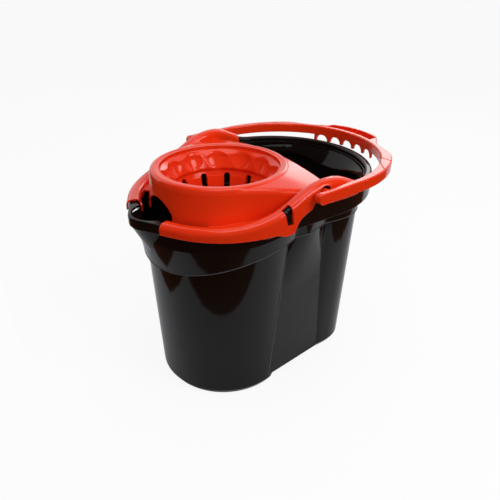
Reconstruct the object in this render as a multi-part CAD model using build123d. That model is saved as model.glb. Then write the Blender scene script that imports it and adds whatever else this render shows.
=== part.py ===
import os
from math import acos, asin, atan2, cos, degrees, hypot, radians, sin, sqrt, tan

from build123d import *

# Mop bucket with a lift-off wringer and a swinging bail. All sizes in mm, Z up.
# The construction frame has X along the length, spout towards -X, bucket standing on Z = 0.

# rim in plan: two rounds joined by tangents, with a pouring spout at the front
frontCentreX = -30.0
rearCentreX = 44.5
rimFrontRadius = 120.4
rimRearRadius = 124.5
spoutCentreX = -133.0
spoutRadius = 30.0

# rim from the side: low at the spout, a crest over the bail pins, level at the rear
rimFrontX = -140.0
rimFrontZ = 254.5
rimRiseX = -35.0
rimRiseZ = 273.5
crestX = 23.0
crestZ = 292.0
rimRearX = 88.0
rimRearZ = 274.5
rimThickness = 3.0
rimLip = 7.0
rimOuterRound = 2.5
rimInnerRound = 3.4
bandThickness = 3.0
hollowStep = 0.8
flangeStep = 0.7
bandFrontZ = 241.0
bandRearZ = 252.5
reachX = 260.0
reachY = 200.0

# bucket wall
wall = 2.6
floorThickness = 4.5
footChamfer = 5.0
footChamferZ = 8.0
footRing = 9.0
footRecess = 1.6
lobeX = -41.7
footFrontRadius = 89.5
footCreaseX = -28.0
footPanelX = -8.0
footPanelY = 77.0
footValleyX = 58.0
footValleyY = 75.0
footRearHalf = 78.5
footRearX = 139.5
footCorner = 50.0
beltZ = 224.0
beltFrontRadius = 97.0
beltCreaseX = -2.0
beltPanelX = 14.0
beltPanelY = 94.5
beltValleyX = 56.0
beltValleyY = 86.0
beltRearHalf = 91.5
beltRearX = 143.0
beltCorner = 55.0

# upper wall above the belt line, flaring to the mouth
raiseZ = 150.0
raiseFrontRadius = 93.2
raisePanelY = 92.0
raiseValleyY = 84.0
raiseRearHalf = 88.5
raiseRearX = 140.8
neckZ = 236.0
neckTilt = 4.6
neckFrontRadius = 106.5
neckCreaseX = 2.0
neckPanelX = 18.0
neckPanelY = 99.0
neckValleyX = 54.0
neckValleyY = 91.0
neckRearHalf = 94.3
neckRearX = 146.5
neckCorner = 58.0
mouthZ = 254.0
mouthTilt = 4.3
mouthTurn = 45.0

# belt line sweeping up from the front
beadFrontX = -175.0
beadFrontZ = 177.0
beadSlope = 0.26
beadRearX = 6.0
beadRearZ = 217.5

# spout channel
channelInset = 1.0
channelFootX = -116.7
channelFootZ = 200.0
channelFootRadius = 24.3
channelTopZ = 243.0
channelInnerX = -95.0
channelInnerRadius = 38.0

# finger scoops at the foot of the waist
scoopX = 31.0
scoopHalf = 31.0
scoopHeight = 17.0
scoopY = 66.0

# bail pivot
pivotX = 11.0
pivotZ = 281.0
pinRadius = 5.0
pinFit = 0.06
pinTip = 113.5
pinEndRoom = 1.0
earBossRadius = 8.0

# wringer cover over the rim
coverThickness = 2.2
coverSideGap = 1.6
coverTopGap = 0.8
coverRound = 7.0
coverInnerChamfer = 2.8
coverRearX = 66.0
coverGapAngle = 19.0
skirtFit = 0.8
skirtZ = 243.6
skirtRiseX = -100.0
skirtRiseZ = 245.6
skirtEndX = -52.0
skirtEndZ = 247.4
tabFrontX = -42.0
tabRearX = -31.0
tabZ = 243.8
stepX = -23.5
stepZ = 256.5
notchFootX = -6.2
notchFootZ = 267.2
earSkirtZ = 268.0
notchHalf = 9.2
notchLean = 25.0
deckGap = 2.5
deckThickness = 2.2
tongueFrontY = 29.0
tongueRearY = 40.0
tongueFootZ = 240.0
tongueTopZ = 252.0
apronAngle = 42.0
webOverlap = 2.0

# snap windows and the bucket nubs that stand in them
windowX = -35.5
windowHalf = 3.8
windowFootZ = 255.3
windowElbowZ = 271.5
windowReach = 9.0
windowHeadZ = 277.5
windowPeakZ = 281.0
windowShoulderZ = 276.0
windowDepth = 8.0
nubHalf = 2.7
nubFootZ = 256.5
nubTopZ = 267.0
nubProud = 1.2

# wringer bowl: collar with wings to the crests, fluted cone with slots
bowlX = -41.7
bowlRimZ = 292.0
bowlMouthRadius = 72.8
bowlRimRound = 5.4
bowlRimDepth = 20.0
collarRadius = 84.0
collarFlare = 5.0
collarFootZ = 240.0
collarWall = 2.2
collarRound = 7.0
brimRadius = 78.0
brimDrop = 1.0
brimFall = 0.17
topThickness = 3.0
wingFrontX = -11.0
wingRearX = 33.0
wingRearDrop = 18.0
wingRearRound = 4.0
wingMidX = 40.0
topZ = max(bowlRimZ, crestZ) + 18.0
coneWall = 4.4
coneStepZ = 254.0
coneStepRadius = 60.0
coneLedge = 1.0
coneFloorZ = 213.0
coneFloorRadius = 49.0
coneFloor = 3.0
fluteCount = 12
fluteTopRadius = 18.0
fluteTipRadius = 0.8
fluteFootRise = 9.0
fluteHeadRise = 20.0
fluteDepth = 2.8
slotHalf = 4.1
slotTopZ = 257.5
slotTurn = 3.0
slotInner = 18.0
slotOuter = 76.0
archHalf = 27.0
archTopZ = 270.0
archShoulderZ = 255.0
archInner = 71.0

# bail, drawn level and then tilted a little up at the grip
bailThickness = 12.4
bailRise = 6.6
bailTopZ = pivotZ + bailRise
bailFootZ = bailTopZ - bailThickness
bailTilt = 1.1
bailOuterY = 137.6
bailInnerY = 129.0
bailRound = 2.0
bailEndX = -8.0
bailEndRun = 5.0
bailBendX = 60.0
bailInnerBendX = 51.0
bailArcEnd = 50.0
gripNeckX = 174.8
gripNeckY = 60.0
gripShoulderX = 196.0
gripShoulderY = 40.0
gripTipX = 205.5
gripRadius = 99.0
gripWall = 3.6
gripWallDrop = 8.7
gripWallHalf = 55.0
fingerPitch = 22.0
fingerRadius = 9.0
fingerCount = 5
pocketHalf = 42.0
pocketDepth = 4.0
pocketFloor = 2.8
pocketRib = 2.2
pocketPitch = 23.3
pocketCount = 5
pocketInnerWall = 5.0
grooveX = 133.6
grooveY = 107.0
obliqueX = 111.0
obliqueY = 120.3
obliqueTurn = -51.0
grooveWidth = 1.3
grooveDepth = 0.9
grooveLength = 26.0
bailBossRadius = 6.0
bailBossGap = 0.7

# place of the origin: bottom centre of the whole object
gripRearX = pivotX + (gripTipX - pivotX) * cos(radians(bailTilt))
spoutTipX = spoutCentreX - spoutRadius
originX = (gripRearX + spoutTipX) / 2

full = 360.0
level = (1, 0)


def prism(face, lowZ, highZ):
    return Pos(0, 0, lowZ) * extrude(face, highZ - lowZ)


def sideSolid(face):
    return extrude(Plane.XZ * face, amount=reachY, both=True)


def bothSides(solid):
    return solid + mirror(solid, about=Plane.XZ)


def acrossPin(fromY, toY, radius):
    return Pos(pivotX, 0, pivotZ) * Rot(X=-90) * Pos(0, 0, fromY) * extrude(Circle(radius), toY - fromY)


def rimRounds(grow):
    front = Pos(frontCentreX, 0) * Circle(rimFrontRadius + grow)
    rear = Pos(rearCentreX, 0) * Circle(rimRearRadius + grow)
    return front.edges() + rear.edges()


def rimFace(grow):
    return make_hull(rimRounds(grow))


def rimSpoutFace(grow):
    spout = Pos(spoutCentreX, 0) * Circle(spoutRadius + grow)
    return make_hull(rimRounds(grow) + spout.edges())


def rimHalf(x):
    share = (x - frontCentreX) / (rearCentreX - frontCentreX)
    return rimFrontRadius + share * (rimRearRadius - rimFrontRadius)


def insideRim(point, grow):
    if point.X < frontCentreX:
        return hypot(point.X - frontCentreX, point.Y) < rimFrontRadius + grow
    if point.X > rearCentreX:
        return hypot(point.X - rearCentreX, point.Y) < rimRearRadius + grow
    return abs(point.Y) < rimHalf(point.X) + grow


def waveEdges(lift):
    start = (-reachX, rimFrontZ + lift)
    front = (rimFrontX, rimFrontZ + lift)
    crest = (crestX, crestZ + lift)
    rear = (rimRearX, rimRearZ + lift)
    end = (reachX, rimRearZ + lift)
    rise = Spline(front, (rimRiseX, rimRiseZ + lift), crest, tangents=(level, level))
    fall = Spline(crest, rear, tangents=(level, level))
    return [Line(start, front), rise, fall, Line(rear, end)]


def waveOver(lift, lowerEdges):
    first = lowerEdges[0] @ 0
    last = lowerEdges[-1] @ 1
    start = Line((-reachX, rimFrontZ + lift), (first.X, first.Y))
    end = Line((last.X, last.Y), (reachX, rimRearZ + lift))
    return sideSolid(make_face(waveEdges(lift) + [start, end] + lowerEdges))


def waveAbove(lift, frontZ, rearZ):
    return waveOver(lift, [Line((-reachX, frontZ), (reachX, rearZ))])


def bodyFace(inset, frontRadius, creaseX, panel, valley, rearHalf, rearX, corner):
    radius = frontRadius - inset
    creaseY = sqrt(radius ** 2 - (creaseX - lobeX) ** 2)
    half = rearHalf - inset
    endX = rearX - inset
    bend = corner - inset
    bendX = endX - bend
    bendY = half - bend
    middle = (bendX + bend * cos(radians(45)), bendY + bend * sin(radians(45)))
    panelAt = (panel[0], panel[1] - inset)
    valleyAt = (valley[0], valley[1] - inset)
    stepWay = (panelAt[0] - creaseX, panelAt[1] - creaseY)
    waist = Spline((creaseX, creaseY), panelAt, valleyAt, (bendX, half), tangents=(stepWay, level))
    turn = ThreePointArc((bendX, half), middle, (endX, bendY))
    rear = Line((endX, bendY), (endX, -bendY))
    front = ThreePointArc((creaseX, creaseY), (lobeX - radius, 0), (creaseX, -creaseY))
    side = [waist, turn]
    otherSide = [mirror(edge, about=Plane.XZ) for edge in side]
    return make_face(side + otherSide + [rear, front])


def footFace(z, inset):
    return Pos(0, 0, z) * bodyFace(inset, footFrontRadius, footCreaseX, (footPanelX, footPanelY),
                                   (footValleyX, footValleyY), footRearHalf, footRearX, footCorner)


def beltFace(inset):
    return Pos(0, 0, beltZ) * bodyFace(inset, beltFrontRadius, beltCreaseX, (beltPanelX, beltPanelY),
                                       (beltValleyX, beltValleyY), beltRearHalf, beltRearX, beltCorner)


def raiseFace(inset):
    return Pos(0, 0, raiseZ) * bodyFace(inset, raiseFrontRadius, beltCreaseX, (beltPanelX, raisePanelY),
                                        (beltValleyX, raiseValleyY), raiseRearHalf, raiseRearX, beltCorner)


def neckFace(inset):
    tilt = Pos(0, 0, neckZ) * Rot(Y=-neckTilt)
    return tilt * bodyFace(inset, neckFrontRadius, neckCreaseX, (neckPanelX, neckPanelY),
                           (neckValleyX, neckValleyY), neckRearHalf, neckRearX, neckCorner)


def mouthFace(inset):
    front = rimFrontRadius - rimLip - inset
    rear = rimRearRadius - rimLip - inset
    lean = asin((rear - front) / (rearCentreX - frontCentreX))
    frontAt = (frontCentreX - front * sin(lean), front * cos(lean))
    rearAt = (rearCentreX - rear * sin(lean), rear * cos(lean))
    halfTurn = radians((90 + degrees(lean) + mouthTurn) / 2)
    middle = (rearCentreX + rear * cos(halfTurn), rear * sin(halfTurn))
    corner = (rearCentreX + rear * cos(radians(mouthTurn)), rear * sin(radians(mouthTurn)))
    side = [Line(frontAt, rearAt), ThreePointArc(rearAt, middle, corner)]
    otherSide = [mirror(edge, about=Plane.XZ) for edge in side]
    rearEdge = ThreePointArc(corner, (rearCentreX + rear, 0), (corner[0], -corner[1]))
    frontEdge = ThreePointArc(frontAt, (frontCentreX - front, 0), (frontAt[0], -frontAt[1]))
    return make_face(side + otherSide + [rearEdge, frontEdge])


def upperWall(inset):
    tiltedMouth = Pos(0, 0, mouthZ) * Rot(Y=-mouthTilt) * mouthFace(inset)
    topMouth = Pos(0, 0, topZ) * mouthFace(inset)
    return loft([raiseFace(inset), neckFace(inset), tiltedMouth, topMouth], ruled=True)


def aboveBead(lift):
    start = (beadFrontX, beadFrontZ + lift)
    end = (beadRearX, beadRearZ + lift)
    bead = Spline(start, end, tangents=((1, beadSlope), level))
    frame = Polyline(end, (reachX, beadRearZ + lift), (reachX, topZ), (beadFrontX, topZ), start)
    return sideSolid(make_face([bead] + frame.edges()))


def channelFace(frontX, radius, inset):
    front = Pos(frontX, 0) * Circle(radius - inset)
    inner = Pos(channelInnerX, 0) * Circle(channelInnerRadius - inset)
    return make_hull(front.edges() + inner.edges())


def channelLip(inset):
    return channelFace(spoutCentreX, spoutRadius - channelInset, inset)


def channel(inset):
    foot = Pos(0, 0, channelFootZ) * channelFace(channelFootX, channelFootRadius, inset)
    slope = loft([foot, Pos(0, 0, channelTopZ) * channelLip(inset)], ruled=True)
    return slope + prism(channelLip(inset), channelTopZ, topZ)


def scoop(grow):
    left = (scoopX - scoopHalf - grow, 0)
    top = (scoopX, scoopHeight + grow)
    right = (scoopX + scoopHalf + grow, 0)
    arch = make_face([ThreePointArc(left, top, right), Line(right, left)])
    block = sideSolid(arch)
    middle = Box(2 * reachX, 2 * (scoopY - grow), 2 * topZ)
    return block - middle


def topOutline(block, wanted):
    crown = [patch for patch in block.faces() if patch.normal_at().Z > 0.5]
    outline = ShapeList()
    for patch in crown:
        others = ShapeList(edge for other in crown if other is not patch for edge in other.edges())
        outline += [edge for edge in patch.edges() if not any(edge.is_same(seam) for seam in others)]
    return [edge for edge in outline if wanted(edge @ 0.5)]


def rimCap(outerFace, innerFace, lift, lowerEdges, finish, outerSize, innerSize):
    block = prism(outerFace, 0, topZ) & waveOver(lift, lowerEdges)
    block = finish(topOutline(block, lambda point: True), outerSize)
    block -= prism(innerFace, 0, topZ)
    inner = topOutline(block, lambda point: insideRim(point, -rimLip))
    return finish(inner, innerSize)


def buildBucket():
    lower = loft([footFace(0, footChamfer), footFace(footChamferZ, 0), beltFace(0)], ruled=True)
    outer = lower + (upperWall(0) & aboveBead(0)) + channel(0)
    lowerCavity = loft([footFace(floorThickness, wall), beltFace(wall)], ruled=True)
    cavity = lowerCavity - scoop(wall) + (upperWall(wall) & aboveBead(wall))
    shell = outer - cavity - channel(wall) - scoop(0)
    shell = shell & waveAbove(-rimInnerRound - rimThickness, -topZ, -topZ)

    lowerBand = [Line((-reachX, bandFrontZ), (reachX, bandRearZ))]
    flangeFace = rimFace(flangeStep - rimLip - wall)
    rim = rimCap(rimSpoutFace(0), flangeFace, 0, lowerBand, fillet, rimOuterRound, rimInnerRound)
    hollowFace = rimSpoutFace(-bandThickness) - rimFace(-rimLip - hollowStep)
    hollow = prism(hollowFace, 0, topZ) & waveAbove(-rimThickness, 0, 0)
    bucket = shell + (rim - hollow - prism(channelLip(wall), 0, topZ))

    boss = acrossPin(rimHalf(pivotX) - rimLip - wall / 2, rimHalf(pivotX) - bandThickness / 2, earBossRadius)
    bore = acrossPin(pinTip - pinEndRoom, reachY, pinRadius + pinFit)
    bucket = bucket + bothSides(boss) - bothSides(bore)

    nubBack = rimHalf(windowX) - bandThickness / 2
    nubFront = rimHalf(windowX) + nubProud
    nub = Pos(windowX, (nubBack + nubFront) / 2, (nubFootZ + nubTopZ) / 2) * Box(
        2 * nubHalf, nubFront - nubBack, nubTopZ - nubFootZ)
    bucket += bothSides(nub)
    recess = prism(footFace(0, footRing), 0, footRecess)
    return bucket - (recess - scoop(footRing))


def frontWedge(angle):
    wedgeLength = 2 * reachX
    spread = wedgeLength * sin(radians(angle))
    along = frontCentreX - wedgeLength * cos(radians(angle))
    wedge = make_face(Polyline((frontCentreX, 0), (along, spread), (along, -spread), close=True))
    return prism(wedge, 0, topZ)


def coverLowerEdge():
    skirt = Polyline((-reachX, skirtZ), (skirtRiseX, skirtRiseZ), (skirtEndX, skirtEndZ), (tabFrontX, tabZ),
                     (tabRearX, tabZ))
    sweep = Spline((tabRearX, tabZ), (stepX, stepZ), (notchFootX, notchFootZ), tangents=((1, 1), (2, 1)))
    rear = Polyline((notchFootX, notchFootZ), (pivotX + notchHalf, earSkirtZ), (reachX, earSkirtZ))
    return skirt.edges() + [sweep] + rear.edges()


def underDeck(lift):
    slope = tan(radians(mouthTilt))
    frontZ = mouthZ + deckGap + lift - reachX * slope
    rearZ = mouthZ + deckGap + lift + reachX * slope
    outline = Polyline((-reachX, 0), (reachX, 0), (reachX, rearZ), (-reachX, frontZ), close=True)
    return sideSolid(make_face(outline))


def buildCover():
    lift = coverTopGap + coverThickness
    innerGrow = rimLip + wall + skirtFit
    webGrow = innerGrow + coverThickness
    coverFace = rimSpoutFace(coverSideGap + coverThickness)
    cap = rimCap(coverFace, rimFace(-webGrow), lift, coverLowerEdge(), fillet, coverRound, coverRound)
    deepEdge = [Line((-reachX, 0), (reachX, 0))]
    cap -= rimCap(rimSpoutFace(coverSideGap), rimFace(-innerGrow), coverTopGap, deepEdge, chamfer,
                  coverInnerChamfer, coverInnerChamfer)
    cap -= frontWedge(coverGapAngle)
    cap -= prism(rimFace(-rimLip), 0, topZ) & underDeck(0)
    notchTop = Pos(pivotX, pivotZ) * Circle(notchHalf)
    leanAt = (pivotX - notchHalf * cos(radians(notchLean)), pivotZ + notchHalf * sin(radians(notchLean)))
    notchLeg = make_face(Polyline((notchFootX, 0), (notchFootX, notchFootZ), leanAt,
                                  (pivotX + notchHalf, pivotZ), (pivotX + notchHalf, 0), close=True))
    notch = sideSolid(notchTop + notchLeg) - Box(2 * reachX, 2 * rimFrontRadius, 2 * topZ)
    cap -= notch
    webRing = rimFace(-innerGrow) - rimFace(-webGrow)
    web = (prism(webRing, 0, topZ) & waveAbove(lift - coverRound - webOverlap, 0, 0)) - underDeck(0)
    tongueHalf = (tongueRearY - tongueFrontY) / 2
    web -= frontWedge(degrees(asin(tongueRearY / rimFrontRadius)))
    bar = Pos(0, reachY / 2) * Rectangle(2 * tongueHalf, reachY)
    tongueFace = Pos(tongueFrontY + tongueHalf, tongueFootZ + tongueHalf) * (bar + Circle(tongueHalf))
    tongueSide = extrude(Plane.YZ * tongueFace, amount=-reachX)
    tongue = prism(webRing, 0, tongueTopZ) & tongueSide
    apron = prism(webRing, tongueFootZ + tongueHalf, tongueTopZ) & frontWedge(apronAngle)
    apron -= frontWedge(degrees(asin(tongueRearY / rimFrontRadius)))
    rearCut = Pos(coverRearX + reachX, 0) * Rectangle(2 * reachX, 2 * reachY)
    return cap + web + apron + bothSides(tongue) - prism(rearCut, 0, topZ)


def crownFace(inset, flare):
    radius = collarRadius + flare - inset
    sideY = rimHalf(wingFrontX) - rimLip - wall - skirtFit - inset
    tip = (wingFrontX, sideY)
    away = hypot(wingFrontX - bowlX, sideY)
    turn = acos(radius / away) + atan2(sideY, wingFrontX - bowlX)
    touch = (bowlX + radius * cos(turn), radius * sin(turn))
    tail = (wingRearX - inset, sideY)
    front = ThreePointArc(touch, (bowlX - radius, 0), (touch[0], -touch[1]))
    rear = ThreePointArc(tail, (wingMidX - inset, 0), (tail[0], -sideY))
    near = Polyline(touch, tip, tail)
    far = mirror(near, about=Plane.XZ)
    return make_face([front, rear] + near.edges() + far.edges())


def crownBlock(inset, drop):
    foot = Pos(0, 0, collarFootZ) * crownFace(inset, collarFlare)
    block = loft([foot, Pos(0, 0, bowlRimZ) * crownFace(inset, 0)], ruled=True)
    brimZ = bowlRimZ - brimDrop - drop
    brimEndZ = brimZ - brimFall * (reachX - brimRadius)
    brim = make_face(Polyline((0, brimZ), (brimRadius, brimZ), (reachX, brimEndZ), (reachX, topZ), (0, topZ),
                              close=True))
    return block - Pos(bowlX, 0, 0) * revolve(Plane.XZ * brim, axis=Axis.Z)


def browEdges(crown):
    upper = [edge for edge in crown.edges() if edge.center().Z > bowlRimZ - wingRearDrop]
    curved = [edge for edge in upper if edge.geom_type != GeomType.LINE]
    return [edge for edge in curved if hypot(edge.center().X - bowlX, edge.center().Y) > brimRadius]


def buildCone():
    edgeZ = bowlRimZ - bowlRimRound
    ledgeRadius = coneStepRadius - coneLedge
    hollow = Polyline((0, coneFloorZ), (coneFloorRadius, coneFloorZ), (ledgeRadius, coneStepZ),
                      (coneStepRadius, coneStepZ), (bowlMouthRadius, edgeZ), (0, edgeZ), close=True)
    skin = Polyline((0, coneFloorZ - coneFloor), (coneFloorRadius + coneWall, coneFloorZ - coneFloor),
                    (ledgeRadius + coneWall, coneStepZ - coneFloor),
                    (bowlMouthRadius + coneWall, edgeZ), (0, edgeZ), close=True)
    cone = revolve(Plane.XZ * make_face(skin), axis=Axis.Z)
    cone -= revolve(Plane.XZ * make_face(hollow), axis=Axis.Z)
    lean = (bowlMouthRadius - coneStepRadius) / (edgeZ - coneStepZ)
    sink = fluteTopRadius - fluteDepth
    footAt = Pos(coneStepRadius + lean * fluteFootRise, 0, coneStepZ + fluteFootRise)
    headAt = Pos(coneStepRadius + lean * fluteHeadRise - sink, 0, coneStepZ + fluteHeadRise)
    petal = loft([footAt * Circle(fluteTipRadius), headAt * Circle(fluteTopRadius)], ruled=True)
    flute = petal + headAt * Sphere(fluteTopRadius)
    slotHead = Pos((slotInner + slotOuter) / 2, 0, slotTopZ - slotHalf)
    slot = slotHead * Rot(Y=90) * Cylinder(slotHalf, slotOuter - slotInner)
    slotDrop = slotTopZ - slotHalf - coneFloorZ + 2 * coneFloor
    slot += slotHead * Pos(0, 0, -slotDrop / 2) * Box(slotOuter - slotInner, 2 * slotHalf, slotDrop)
    pitch = full / fluteCount
    for index in range(fluteCount):
        cone -= Rot(Z=index * pitch) * flute
        cone -= Rot(Z=(index + 0.5) * pitch + slotTurn) * slot
    return cone


def buildBowl():
    toBowl = Pos(bowlX, 0, 0)
    mouth = toBowl * prism(Circle(bowlMouthRadius), 0, topZ)
    crown = crownBlock(0, 0)
    brow = browEdges(crown)
    crown = fillet([edge for edge in brow if edge.center().X < wingFrontX], collarRound)
    brow = browEdges(crown)
    crown = fillet([edge for edge in brow if edge.center().X > wingRearX], wingRearRound)
    crown -= crownBlock(collarWall, topThickness) + mouth
    rearKeep = Pos(wingRearX - collarWall + reachX, 0) * Rectangle(2 * reachX, 2 * reachY)
    crown -= prism(rearKeep, 0, bowlRimZ - wingRearDrop)
    crown -= underDeck(0)
    ringMiddle = (bowlMouthRadius + collarRadius) / 2
    ringFace = Pos(ringMiddle, bowlRimZ - bowlRimDepth / 2) * Rectangle(
        collarRadius - bowlMouthRadius, bowlRimDepth)
    ringFace = fillet(ringFace.vertices().group_by(Axis.Y)[-1], bowlRimRound)
    ring = toBowl * revolve(Plane.XZ * ringFace, axis=Axis.Z)
    return crown + ring + toBowl * buildCone()


def buildWringer():
    innerGrow = rimLip + wall + skirtFit
    frontPart = Pos(wingFrontX - reachX, 0) * Rectangle(2 * reachX, 2 * reachY)
    deckPlan = rimFace(-innerGrow) - crownFace(collarWall, collarFlare)
    deck = (prism(deckPlan & frontPart, 0, topZ) & underDeck(deckThickness)) - underDeck(0)
    deck -= frontWedge(apronAngle)
    wringer = buildCover() + buildBowl() + deck

    archTop = ThreePointArc((-archHalf, archShoulderZ), (0, archTopZ), (archHalf, archShoulderZ))
    archLegs = Polyline((archHalf, archShoulderZ), (archHalf, 0), (-archHalf, 0), (-archHalf, archShoulderZ))
    archFace = make_face([archTop] + archLegs.edges())
    wringer -= Pos(bowlX - archInner, 0, 0) * extrude(Plane.YZ * archFace, amount=-reachX)

    windowFace = make_face(Polyline(
        (windowX - windowHalf, windowFootZ), (windowX + windowHalf, windowFootZ),
        (windowX + windowHalf / 2, windowShoulderZ), (windowX - windowHalf, windowPeakZ),
        (windowX - windowHalf - windowReach, windowHeadZ), (windowX - 2 * windowHalf, windowElbowZ),
        close=True))
    windowBack = rimHalf(windowX) + coverSideGap + coverThickness - windowDepth
    window = sideSolid(windowFace) - Box(2 * reachX, 2 * windowBack, 2 * topZ)
    return wringer - window


def bailOutline():
    startAngle = radians(bailArcEnd)
    middleAngle = radians((90 + bailArcEnd) / 2)
    bend = (bailBendX + bailOuterY * cos(startAngle), bailOuterY * sin(startAngle))
    middle = (bailBendX + bailOuterY * cos(middleAngle), bailOuterY * sin(middleAngle))
    arc = ThreePointArc((bailBendX, bailOuterY), middle, bend)
    away = (sin(startAngle), -cos(startAngle))
    sweep = Spline(bend, (gripNeckX, gripNeckY), (gripShoulderX, gripShoulderY), (gripTipX, 0),
                   tangents=(away, (0, -1)))
    arm = Line((bailEndX, bailOuterY), (bailBendX, bailOuterY))
    half = [arm, arc, sweep]
    other = [mirror(edge, about=Plane.XZ) for edge in half]
    return make_face(half + other + [Line((bailEndX, -bailOuterY), (bailEndX, bailOuterY))])


def buildBail():
    innerRun = Pos(bailInnerBendX - reachX, 0) * Rectangle(2 * reachX, 2 * bailInnerY)
    inner = innerRun + Pos(bailInnerBendX, 0) * Circle(bailInnerY)
    endAt = bailEndX + bailEndRun
    endNose = ThreePointArc((endAt, bailFootZ), (bailEndX, (bailFootZ + bailTopZ) / 2), (endAt, bailTopZ))
    endFrame = Polyline((endAt, bailTopZ), (reachX, bailTopZ), (reachX, bailFootZ), (endAt, bailFootZ))
    sideFace = make_face([endNose] + endFrame.edges())
    bail = prism(bailOutline() - inner, bailFootZ, bailTopZ) & sideSolid(sideFace)
    topFace = bail.faces().sort_by(Axis.Z)[-1]
    rounds = [edge for edge in topFace.edges() if edge.center().X > endAt + bailRound]
    bail = fillet(rounds, bailRound)

    gripWallFootZ = bailFootZ - gripWallDrop
    wallRing = Pos(bailInnerBendX, 0) * (Circle(bailInnerY + gripWall) - Circle(bailInnerY))
    wallSpan = Pos(bailBendX + reachX / 2, 0) * Rectangle(reachX, 2 * gripWallHalf)
    gripSide = prism(wallRing & wallSpan, gripWallFootZ, bailTopZ - bailRound)
    gripCentreX = gripTipX - gripRadius
    for index in range(fingerCount):
        across = (index - (fingerCount - 1) / 2) * fingerPitch
        finger = Pos(gripCentreX, across, gripWallFootZ) * Rot(Y=90) * Cylinder(fingerRadius, 2 * reachX)
        gripSide -= finger
    bail += gripSide

    pocketOuter = Pos(gripCentreX, 0) * Circle(gripRadius - gripWall)
    pocketInner = Pos(bailInnerBendX, 0) * Circle(bailInnerY + pocketInnerWall)
    pocketSpan = Pos(bailBendX + reachX / 2, 0) * Rectangle(reachX, 2 * pocketHalf)
    field = (pocketOuter - pocketInner) & pocketSpan
    bail -= prism(field, bailTopZ - pocketDepth, topZ)
    for index in range(pocketCount):
        across = (index - (pocketCount - 1) / 2) * pocketPitch
        cell = Pos(bailBendX + reachX / 2, across) * Rectangle(reachX, pocketPitch - pocketRib)
        bail -= prism(field & cell, bailFootZ + pocketFloor, topZ)

    groove = Box(grooveLength, grooveWidth, 2 * grooveDepth)
    grooves = Pos(grooveX, grooveY, bailTopZ) * Rot(Z=90) * groove
    grooves += Pos(obliqueX, obliqueY, bailTopZ) * Rot(Z=obliqueTurn) * groove
    bail -= bothSides(grooves)

    armWidth = bailOuterY - bailInnerY
    bossFoot = rimHalf(pivotX) + bailBossGap
    boss = acrossPin(bossFoot, bailInnerY + armWidth / 2, bailBossRadius)
    pin = acrossPin(pinTip, bailInnerY, pinRadius)
    bail += bothSides(boss + pin)
    toPivot = Pos(pivotX, 0, pivotZ)
    return toPivot * Rot(Y=-bailTilt) * toPivot.inverse() * bail


os.makedirs("parts", exist_ok=True)
placed = Pos(-originX, 0, 0)
export_step(placed * buildBucket(), "parts/bucket.step")
export_step(placed * buildWringer(), "parts/wringer.step")
export_step(placed * buildBail(), "parts/bail_handle.step")
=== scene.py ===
from math import cos, pi, radians, sin, sqrt

import bmesh
import bpy
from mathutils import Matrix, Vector
from mathutils.bvhtree import BVHTree


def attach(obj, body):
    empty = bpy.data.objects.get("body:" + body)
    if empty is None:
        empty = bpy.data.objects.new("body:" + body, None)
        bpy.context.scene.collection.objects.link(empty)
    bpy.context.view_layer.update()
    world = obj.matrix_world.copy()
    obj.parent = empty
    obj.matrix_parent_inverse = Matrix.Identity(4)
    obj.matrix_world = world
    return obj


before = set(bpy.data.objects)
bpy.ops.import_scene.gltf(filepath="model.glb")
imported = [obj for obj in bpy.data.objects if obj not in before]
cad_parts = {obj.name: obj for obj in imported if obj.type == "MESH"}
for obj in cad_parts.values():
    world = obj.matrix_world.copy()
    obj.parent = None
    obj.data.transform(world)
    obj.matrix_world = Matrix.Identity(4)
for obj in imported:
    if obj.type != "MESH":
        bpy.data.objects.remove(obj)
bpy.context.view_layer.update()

scene = bpy.context.scene
print("frame loaded:", sorted(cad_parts))


def hexToLinear(hexCode):
    channels = [int(hexCode[i:i + 2], 16) / 255 for i in (1, 3, 5)]
    linear = [c / 12.92 if c <= 0.04045 else ((c + 0.055) / 1.055) ** 2.4 for c in channels]
    return (*linear, 1.0)


# adds a node with its settings; links are named for the input they feed, with _ for a space
def addNode(tree, kind, settings=None, **links):
    node = tree.nodes.new(kind)
    for name, value in (settings or {}).items():
        if name in node.inputs:
            node.inputs[name].default_value = value
        else:
            setattr(node, name, value)
    for name, source in links.items():
        tree.links.new(source, node.inputs[name.replace("_", " ")])
    return node


def newMaterial(name):
    material = bpy.data.materials.new(name)
    material.use_nodes = True
    material.node_tree.nodes.clear()
    return material, material.node_tree


plastic = {"ior": 1.49, "skinDepth": 0.0004, "edgeSamples": 6, "tintStops": (0.3, 0.7)}


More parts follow.
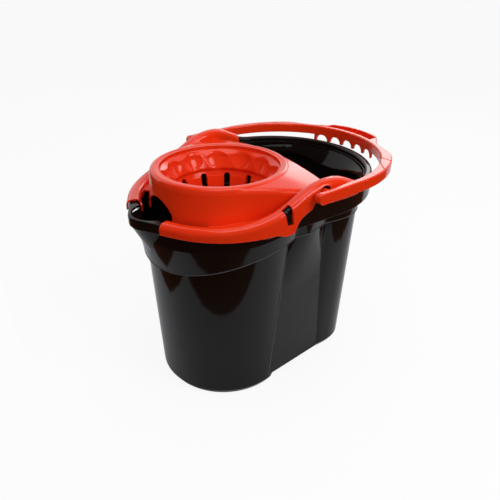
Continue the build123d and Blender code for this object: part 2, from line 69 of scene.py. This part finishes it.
# moulded polypropylene: slow clouds of tint, hazy wear in the gloss, a faint mould skin and softened edges
def mouldedPlastic(name, look):
    material, tree = newMaterial(name)
    place = addNode(tree, "ShaderNodeTexCoord").outputs["Object"]
    cloudSize = {"Scale": 1000 / look["cloudMm"], "Detail": 3.0}
    cloud = addNode(tree, "ShaderNodeTexNoise", cloudSize, Vector=place)
    tint = addNode(tree, "ShaderNodeValToRGB", None, Fac=cloud.outputs["Fac"])
    for element, position, key in zip(tint.color_ramp.elements, plastic["tintStops"], ("deep", "light")):
        element.position = position
        element.color = hexToLinear(look[key])
    wearSize = {"Scale": 1000 / look["hazeMm"], "Detail": 4.0}
    wear = addNode(tree, "ShaderNodeTexNoise", wearSize, Vector=place)
    haze = addNode(tree, "ShaderNodeMapRange", {"To Min": look["smooth"], "To Max": look["dull"]},
                   Value=wear.outputs["Fac"])
    edge = addNode(tree, "ShaderNodeBevel",
                   {"samples": plastic["edgeSamples"], "Radius": look["edgeMm"] / 1000})
    skinSize = {"Scale": 1000 / look["skinMm"], "Detail": 2.0}
    skin = addNode(tree, "ShaderNodeTexNoise", skinSize, Vector=place)
    relief = addNode(tree, "ShaderNodeBump", {"Strength": look["relief"], "Distance": plastic["skinDepth"]},
                     Height=skin.outputs["Fac"], Normal=edge.outputs["Normal"])
    shader = addNode(tree, "ShaderNodeBsdfPrincipled",
                     {"IOR": plastic["ior"], "Specular IOR Level": look["shine"]},
                     Base_Color=tint.outputs["Color"], Roughness=haze.outputs["Result"],
                     Normal=relief.outputs["Normal"])
    addNode(tree, "ShaderNodeOutputMaterial", None, Surface=shader.outputs["BSDF"])
    return material


# a deep black whose hard gloss mirrors the floor and the room
blackPolypropylene = mouldedPlastic("glossy_black_moulded_polypropylene", {
    "deep": "#100d0c", "light": "#15110f", "cloudMm": 60, "hazeMm": 25, "smooth": 0.06, "dull": 0.1,
    "skinMm": 3.0, "relief": 0.02, "edgeMm": 0.8, "shine": 0.2})
# a bright orange-red with a softer gloss and broad highlights
orangePolypropylene = mouldedPlastic("glossy_orange_moulded_polypropylene", {
    "deep": "#ef3410", "light": "#f53a13", "cloudMm": 70, "hazeMm": 25, "smooth": 0.1, "dull": 0.17,
    "skinMm": 3.0, "relief": 0.03, "edgeMm": 0.8, "shine": 0.45})
# a painted highlight for the crown of a moulded line: a paler, dull grey that stands in for the light it
# catches, so that it shows as a thin grey line
paintedHighlightPolypropylene = mouldedPlastic("satin_grey_painted_highlight_polypropylene", {
    "deep": "#4a4a4d", "light": "#545457", "cloudMm": 40, "hazeMm": 12, "smooth": 0.35, "dull": 0.5,
    "skinMm": 2.0, "relief": 0.02, "edgeMm": 0.2, "shine": 0.3})

for nodeName, material in (("bucket", blackPolypropylene), ("wringer", orangePolypropylene),
                           ("bail_handle", orangePolypropylene)):
    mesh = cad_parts[nodeName].data
    mesh.materials.clear()
    mesh.materials.append(material)
print("materials set")

finish = {"mergeGap": 0.00002, "crispAngle": 40}


# a Geometry Nodes tree: sizes are its named inputs, and build adds what is between input and output
def nodesTree(name, sizes, build):
    group = bpy.data.node_groups.new(name, "GeometryNodeTree")
    group.interface.new_socket("Geometry", in_out="INPUT", socket_type="NodeSocketGeometry")
    group.interface.new_socket("Geometry", in_out="OUTPUT", socket_type="NodeSocketGeometry")
    for title, (kind, value) in sizes.items():
        group.interface.new_socket(title, in_out="INPUT", socket_type=kind).default_value = value
    source = addNode(group, "NodeGroupInput")
    grown = build(group, source)
    solid = addNode(group, "GeometryNodeRealizeInstances", None, Geometry=grown)
    joined = addNode(group, "GeometryNodeMergeByDistance", {"Distance": finish["mergeGap"]},
                     Geometry=solid.outputs[0])
    smooth = addNode(group, "GeometryNodeSetShadeSmooth", None, Geometry=joined.outputs[0])
    painted = addNode(group, "GeometryNodeSetMaterial", None, Geometry=smooth.outputs[0],
                      Material=source.outputs["Material"])
    addNode(group, "NodeGroupOutput", None, Geometry=painted.outputs[0])
    return group


# turns all faces outwards, keeps real edges crisp and lets the piece ride on its body
def closePiece(piece, body):
    shell = bmesh.new()
    shell.from_mesh(piece.data)
    bmesh.ops.recalc_face_normals(shell, faces=shell.faces)
    openEdges = sum(not edge.is_manifold for edge in shell.edges)
    shell.to_mesh(piece.data)
    shell.free()
    piece.data.shade_smooth()
    piece.data.set_sharp_from_angle(angle=radians(finish["crispAngle"]))
    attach(piece, body)
    print(piece.name, len(piece.data.polygons), "faces,", openEdges, "open edges")


# runs a tree on a base mesh and keeps the result as a plain mesh
def growPiece(name, base, group, inputs, body):
    piece = bpy.data.objects.new(name, base)
    scene.collection.objects.link(piece)
    modifier = piece.modifiers.new("grow", "NODES")
    modifier.node_group = group
    for item in group.interface.items_tree:
        if item.name in inputs:
            modifier[item.identifier] = inputs[item.name]
    grown = piece.evaluated_get(bpy.context.evaluated_depsgraph_get())
    finished = bpy.data.meshes.new_from_object(grown)
    piece.modifiers.clear()
    piece.data = finished
    closePiece(piece, body)


bucketWall = BVHTree.FromObject(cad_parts["bucket"], bpy.context.evaluated_depsgraph_get())

# the raised bead round the bucket: a thin tube on the wall, low at the spout and level at the rear
beadLine = {"frontX": -0.19623, "frontZ": 0.177, "rearX": -0.01523, "rearZ": 0.2175, "slope": 0.26,
            "frontPull": 0.17, "rearPull": 0.22, "centreX": -0.02, "castFrom": 0.5, "points": 360,
            "lift": 0.0002, "radius": 0.0006, "sides": 8}


# the bead's height where the wall is at x, found by halving along its curve
def beadHeight(x):
    frontX, frontZ, rearX, rearZ = (beadLine[key] for key in ("frontX", "frontZ", "rearX", "rearZ"))
    if x >= rearX:
        return rearZ
    low, high = 0.0, 1.0
    for _ in range(30):
        t = (low + high) / 2
        first = 2 * t**3 - 3 * t**2 + 1
        last = 3 * t**2 - 2 * t**3
        pull = (t**3 - 2 * t**2 + t) * beadLine["frontPull"]
        arrive = (t**3 - t**2) * beadLine["rearPull"]
        if first * frontX + pull + last * rearX + arrive < x:
            low = t
        else:
            high = t
    return first * frontZ + pull * beadLine["slope"] + last * rearZ


def tubeNodes(group, source):
    line = addNode(group, "GeometryNodeMeshToCurve", None, Mesh=source.outputs["Geometry"])
    ring = addNode(group, "GeometryNodeCurvePrimitiveCircle", {"Resolution": beadLine["sides"]},
                   Radius=source.outputs["Radius"])
    skin = addNode(group, "GeometryNodeCurveToMesh", {"Fill Caps": True}, Curve=line.outputs["Curve"],
                   Profile_Curve=ring.outputs["Curve"])
    return skin.outputs["Mesh"]


tubeTree = nodesTree("line_tube", {"Radius": ("NodeSocketFloat", beadLine["radius"]),
                                   "Material": ("NodeSocketMaterial", None)}, tubeNodes)


def buildBead():
    path = []
    for step in range(beadLine["points"]):
        angle = 2 * pi * step / beadLine["points"]
        out = Vector((cos(angle), sin(angle), 0))
        height = beadLine["rearZ"]
        for _ in range(5):
            middle = Vector((beadLine["centreX"], 0, height + beadLine["lift"]))
            hit = bucketWall.ray_cast(middle + out * beadLine["castFrom"], -out)[0]
            height = beadHeight(hit.x)
        path.append(hit)
    base = bpy.data.meshes.new("bead_path")
    base.from_pydata(path, [(i, (i + 1) % len(path)) for i in range(len(path))], [])
    # the bead tube's pale grey is a painted highlight line
    inputs = {"Radius": beadLine["radius"], "Material": paintedHighlightPolypropylene}
    growPiece("bucket_wall_bead", base, tubeTree, inputs, "bucket")


buildBead()

# the flat panel in each side, from the crease on the front lobe to the valley at the rear lobe
sidePanel = {"creaseX": -0.0557, "creaseLean": 0.125, "valleyX": 0.0475, "valleyLean": -0.068,
             "footCrease": 0.013, "footValley": 0.006, "endsFromZ": 0.014, "guessHeight": 0.2,
             "underBead": 0.0008, "castFrom": -0.3, "hidden": 0.001, "sunk": 0.0014, "columns": 90,
             "rows": 60, "bulge": 0.0072, "bulgeFromZ": 0.135, "bulgeOverZ": 0.08, "bulgePower": 1.2,
             "creaseRadius": 0.0007}


def wallY(x, z):
    return bucketWall.ray_cast(Vector((x, sidePanel["castFrom"], z)), Vector((0, 1, 0)))[0].y


# front and back of the panel: flat below, swelling towards the bead, and never deeper than the wall hides
def panelPoints(along, rise):
    foot = sidePanel["footCrease"] + along * (sidePanel["footValley"] - sidePanel["footCrease"])
    z = foot + rise * sidePanel["guessHeight"]
    for _ in range(3):
        crease = sidePanel["creaseX"] + sidePanel["creaseLean"] * z
        valley = sidePanel["valleyX"] + sidePanel["valleyLean"] * z
        x = crease + along * (valley - crease)
        z = foot + rise * (beadHeight(x) - sidePanel["underBead"] - foot)
    endsZ = max(z, sidePanel["endsFromZ"])
    creaseY = wallY(crease, endsZ)
    valleyY = wallY(valley, endsZ)
    here = wallY(x, z)
    flat = creaseY + along * (valleyY - creaseY)
    lift = max(0.0, z - sidePanel["bulgeFromZ"]) / sidePanel["bulgeOverZ"]
    swell = sidePanel["bulge"] * lift ** sidePanel["bulgePower"]
    flat -= 4 * swell * along * (1 - along)
    return (x, min(flat, here + sidePanel["hidden"]), z), (x, here + sidePanel["sunk"], z)


def buildPanels():
    columns, rows = sidePanel["columns"], sidePanel["rows"]
    wide = columns + 1
    pairs = [panelPoints(column / columns, row / rows) for row in range(rows + 1) for column in range(wide)]
    fronts = [front for front, back in pairs]
    points = fronts + [back for front, back in pairs]
    behind = len(fronts)
    faces = []
    for row in range(rows):
        for column in range(columns):
            a, b = row * wide + column, (row + 1) * wide + column
            faces.append((a, a + 1, b + 1, b))
            faces.append((behind + a, behind + b, behind + b + 1, behind + a + 1))
    border = list(range(columns))
    border += [row * wide + columns for row in range(rows)]
    border += [rows * wide + column for column in range(columns, 0, -1)]
    border += [row * wide for row in range(rows, 0, -1)]
    for a, b in zip(border, border[1:] + border[:1]):
        faces.append((a, b, behind + b, behind + a))
    mesh = bpy.data.meshes.new("bucket_side_panels")
    mesh.from_pydata(points + [(x, -y, z) for x, y, z in points], [],
                     faces + [tuple(len(points) + i for i in face) for face in faces])
    mesh.materials.append(blackPolypropylene)
    panels = bpy.data.objects.new("bucket_side_panels", mesh)
    scene.collection.objects.link(panels)
    closePiece(panels, "bucket")

    # the fine line along each crease
    line = fronts[::wide]
    steps = [(i, i + 1) for i in range(rows)]
    base = bpy.data.meshes.new("crease_paths")
    base.from_pydata(line + [(x, -y, z) for x, y, z in line],
                     steps + [(a + len(line), b + len(line)) for a, b in steps], [])
    # the crease tube's pale grey is a painted highlight line
    inputs = {"Radius": sidePanel["creaseRadius"], "Material": paintedHighlightPolypropylene}
    growPiece("bucket_crease_lines", base, tubeTree, inputs, "bucket")


buildPanels()

# the petal flutes inside the wringer cone: one petal and its half ridges, turned round the cone
fluteRing = {"centreX": -0.062932, "count": 12, "footZ": 0.2584, "topZ": 0.2872, "coneFootZ": 0.254,
             "coneFootRadius": 0.060, "coneTopZ": 0.2866, "coneTopRadius": 0.0728, "standOff": 0.0003,
             "ridge": 0.0036, "petalFootZ": 0.2605, "petalWideZ": 0.2755, "petalTopZ": 0.2845,
             "petalWidth": 0.86, "petalTip": 0.05, "fade": 0.007, "sunk": 0.0012, "columns": 40, "rows": 48}


# half of a petal's width at a height, as a share of half the pitch: a fan below, an arch above
def petalHalfWidth(z):
    foot, wide, top = (fluteRing[key] for key in ("petalFootZ", "petalWideZ", "petalTopZ"))
    tip, width = fluteRing["petalTip"], fluteRing["petalWidth"]
    if z < foot or z > top:
        return 0.0
    if z < wide:
        grow = (z - foot) / (wide - foot)
        return tip + (width - tip) * sin(grow * pi / 2)
    return width * sqrt(max(0.0, 1 - ((z - wide) / (top - wide)) ** 2))


def coneRadius(z):
    share = (z - fluteRing["coneFootZ"]) / (fluteRing["coneTopZ"] - fluteRing["coneFootZ"])
    return fluteRing["coneFootRadius"] + share * (fluteRing["coneTopRadius"] - fluteRing["coneFootRadius"])


def fluteDepth(side, z):
    ends = min(z - fluteRing["footZ"], fluteRing["topZ"] - z) / fluteRing["fade"]
    swell = 0.5 - 0.5 * cos(pi * min(1.0, max(0.0, ends)))
    cover = fluteRing["standOff"] * (2 * swell - 1)    # the ends sink into the wall
    half = petalHalfWidth(z)
    groove = 0.0
    if abs(side) < half:
        groove = (half / fluteRing["petalWidth"]) * (1 - (side / half) ** 2)
    return cover + fluteRing["ridge"] * swell * (1 - groove)


def turnedNodes(group, source):
    spots = addNode(group, "GeometryNodeMeshLine", {"Offset": (0, 0, 0)}, Count=source.outputs["Count"])
    index = addNode(group, "GeometryNodeInputIndex")
    angle = addNode(group, "ShaderNodeMath", {"operation": "MULTIPLY"})
    group.links.new(index.outputs["Index"], angle.inputs[0])
    group.links.new(source.outputs["Pitch"], angle.inputs[1])
    turn = addNode(group, "ShaderNodeCombineXYZ", None, Z=angle.outputs["Value"])
    around = addNode(group, "GeometryNodeInstanceOnPoints", None, Points=spots.outputs["Mesh"],
                     Instance=source.outputs["Geometry"], Rotation=turn.outputs["Vector"])
    moved = addNode(group, "GeometryNodeTransform", None, Geometry=around.outputs["Instances"],
                    Translation=source.outputs["Centre"])
    return moved.outputs["Geometry"]


def buildFlutes():
    columns, rows, low, high = (fluteRing[key] for key in ("columns", "rows", "footZ", "topZ"))
    pitch = 2 * pi / fluteRing["count"]
    wide = columns + 1
    heights = [low + (high - low) * row / rows for row in range(rows + 1)]
    points, faces = [], []
    for row, z in enumerate(heights + heights[::-1]):    # up the front, then down the back
        for column in range(wide):
            side = 2 * column / columns - 1
            radius = coneRadius(z) - fluteDepth(side, z) if row <= rows else coneRadius(z) + fluteRing["sunk"]
            angle = side * pitch / 2
            points.append((radius * cos(angle), radius * sin(angle), z))
    rings = 2 * (rows + 1)
    for row in range(rings):
        for column in range(columns):
            a, b = row * wide + column, ((row + 1) % rings) * wide + column
            faces.append((a, b, b + 1, a + 1))
    base = bpy.data.meshes.new("flute_petal")
    base.from_pydata(points, [], faces)
    tree = nodesTree("flute_ring", {"Count": ("NodeSocketInt", fluteRing["count"]),
                                    "Pitch": ("NodeSocketFloat", pitch),
                                    "Centre": ("NodeSocketVector", (0, 0, 0)),
                                    "Material": ("NodeSocketMaterial", None)}, turnedNodes)
    inputs = {"Count": fluteRing["count"], "Pitch": pitch, "Centre": (fluteRing["centreX"], 0.0, 0.0),
              "Material": orangePolypropylene}
    growPiece("wringer_cone_flutes", base, tree, inputs, "wringer")


buildFlutes()

view = {"azimuth": -37.1, "elevation": 29.5, "place": (-0.3703, -0.4663, 0.4872), "lensMm": 34.88,
        "sensorMm": 36}
sideways = Vector((cos(radians(view["azimuth"])), sin(radians(view["azimuth"])), 0))
towards = Vector((sin(radians(view["azimuth"])), -cos(radians(view["azimuth"])), 0))

# a white paper floor with an edge, on a darker studio floor between dim walls that only reflections show;
# the camera sees one white floor
stageSet = {"reach": 40.0, "sheetColour": "#f4f6fa", "sheetFront": 0.285, "sheetLeft": -0.32,
            "sheetRight": 0.372, "sheetTurn": 0.1, "sheetSpread": 0.6, "sheetWhite": 0.9,
            "floorColour": "#7a4420", "floorWhite": 1.0, "floorSeen": "#fcfcfc", "roomFront": 1.6,
            "roomSide": 2.0, "roomBack": -0.5, "roomTop": 2.2, "roomColour": "#33251d"}


# a flat piece of the stage, laid out along the view; whiteShare is how far the camera sees it white
def stagePiece(name, plan, faces, colour, whiteShare, seen="#ffffff"):
    mesh = bpy.data.meshes.new(name)
    mesh.from_pydata([sideways * a + towards * t + Vector((0, 0, z)) for a, t, z in plan], [], faces)
    piece = bpy.data.objects.new(name, mesh)
    scene.collection.objects.link(piece)
    material, tree = newMaterial(name)
    matt = addNode(tree, "ShaderNodeBsdfDiffuse", {"Color": hexToLinear(colour)})
    rays = addNode(tree, "ShaderNodeLightPath")
    share = addNode(tree, "ShaderNodeMapRange", {"To Max": whiteShare}, Value=rays.outputs["Is Camera Ray"])
    white = addNode(tree, "ShaderNodeEmission", {"Color": hexToLinear(seen), "Strength": 1.0})
    mix = addNode(tree, "ShaderNodeMixShader", None, Fac=share.outputs["Result"])
    tree.links.new(matt.outputs["BSDF"], mix.inputs[1])
    tree.links.new(white.outputs["Emission"], mix.inputs[2])
    addNode(tree, "ShaderNodeOutputMaterial", None, Surface=mix.outputs["Shader"])
    mesh.materials.append(material)
    return piece


def buildFloor():
    reach, left, right, edge = (stageSet[key] for key in ("reach", "sheetLeft", "sheetRight", "sheetFront"))
    spread, turn = stageSet["sheetSpread"] * reach, stageSet["sheetTurn"]
    sheet = [(left, edge, 0), (right, edge, 0), (right, turn, 0), (right + spread, -reach, 0),
             (left - spread, -reach, 0), (left, turn, 0)]
    stagePiece("matt_white_paper_sheet", sheet, [tuple(range(6))], stageSet["sheetColour"],
               stageSet["sheetWhite"])
    around = sheet + [(-reach, -reach, 0), (-reach, reach, 0), (reach, reach, 0), (reach, -reach, 0)]
    strips = [(5, 4, 6, 7, 0), (0, 7, 8, 1), (1, 8, 9, 3, 2)]
    stagePiece("dark_studio_floor", around, strips, stageSet["floorColour"], stageSet["floorWhite"],
               stageSet["floorSeen"])


def buildRoom():
    side, front, back, top = (stageSet[key] for key in ("roomSide", "roomFront", "roomBack", "roomTop"))
    corners = ((-side, front), (side, front), (side, back), (-side, back))
    plan = [(a, t, z) for z in (0, top) for a, t in corners]
    walls = [(0, 1, 5, 4), (1, 2, 6, 5), (3, 0, 4, 7), (4, 5, 6, 7)]
    room = stagePiece("dim_studio_walls", plan, walls, stageSet["roomColour"], 0)
    room.visible_camera = False
    room.visible_diffuse = False
    room.visible_shadow = False


buildFloor()
buildRoom()
print("stage set")

skyLight = {"soft": 0.5, "seen": 1.0}


# soft light on the part; camera, glossy and transmission rays see plain white
def buildWorld():
    world = bpy.data.worlds.new("white_studio")
    scene.world = world
    world.use_nodes = True
    tree = world.node_tree
    tree.nodes.clear()
    rays = addNode(tree, "ShaderNodeLightPath")
    seen = addNode(tree, "ShaderNodeMath", {"operation": "MAXIMUM"})
    tree.links.new(rays.outputs["Is Camera Ray"], seen.inputs[0])
    tree.links.new(rays.outputs["Is Glossy Ray"], seen.inputs[1])
    shown = addNode(tree, "ShaderNodeMath", {"operation": "MAXIMUM"})
    tree.links.new(seen.outputs["Value"], shown.inputs[0])
    tree.links.new(rays.outputs["Is Transmission Ray"], shown.inputs[1])
    soft = addNode(tree, "ShaderNodeBackground", {"Color": (1, 1, 1, 1), "Strength": skyLight["soft"]})
    white = addNode(tree, "ShaderNodeBackground", {"Color": (1, 1, 1, 1), "Strength": skyLight["seen"]})
    mix = addNode(tree, "ShaderNodeMixShader", None, Fac=shown.outputs["Value"])
    tree.links.new(soft.outputs["Background"], mix.inputs[1])
    tree.links.new(white.outputs["Background"], mix.inputs[2])
    addNode(tree, "ShaderNodeOutputWorld", None, Surface=mix.outputs["Shader"])


buildWorld()

lamps = {
    "overhead_softbox": {"way": (-0.1, -0.2, 1.0), "distance": 1.5, "size": (1.0, 1.0), "watts": 6},
    "front_softbox": {"way": (0.25, -0.8, 0.55), "distance": 1.4, "size": (0.7, 0.7), "watts": 6.5},
    "back_softbox": {"way": (0.79, 0.46, 0.38), "distance": 1.6, "size": (0.6, 0.4), "watts": 2}}
lampAim = Vector((0, 0, 0.25))

for lampName, lampSet in lamps.items():
    lamp = bpy.data.lights.new(lampName, "AREA")
    lamp.shape = "RECTANGLE"
    lamp.size, lamp.size_y = lampSet["size"]
    lamp.energy = lampSet["watts"]
    lampObject = bpy.data.objects.new(lampName, lamp)
    scene.collection.objects.link(lampObject)
    way = Vector(lampSet["way"])
    lampObject.location = lampAim + way.normalized() * lampSet["distance"]
    lampObject.rotation_euler = way.to_track_quat("Z", "Y").to_euler()
print("lamps set:", len(lamps))


def buildCamera():
    camera = bpy.data.cameras.new("camera")
    camera.sensor_width = view["sensorMm"]
    camera.lens = view["lensMm"]
    cameraObject = bpy.data.objects.new("camera", camera)
    scene.collection.objects.link(cameraObject)
    elevation = radians(view["elevation"])
    back = towards * cos(elevation) + Vector((0, 0, sin(elevation)))
    cameraObject.location = view["place"]
    cameraObject.rotation_euler = back.to_track_quat("Z", "Y").to_euler()
    scene.camera = cameraObject


buildCamera()
scene.view_settings.view_transform = "Standard"
print("camera set")
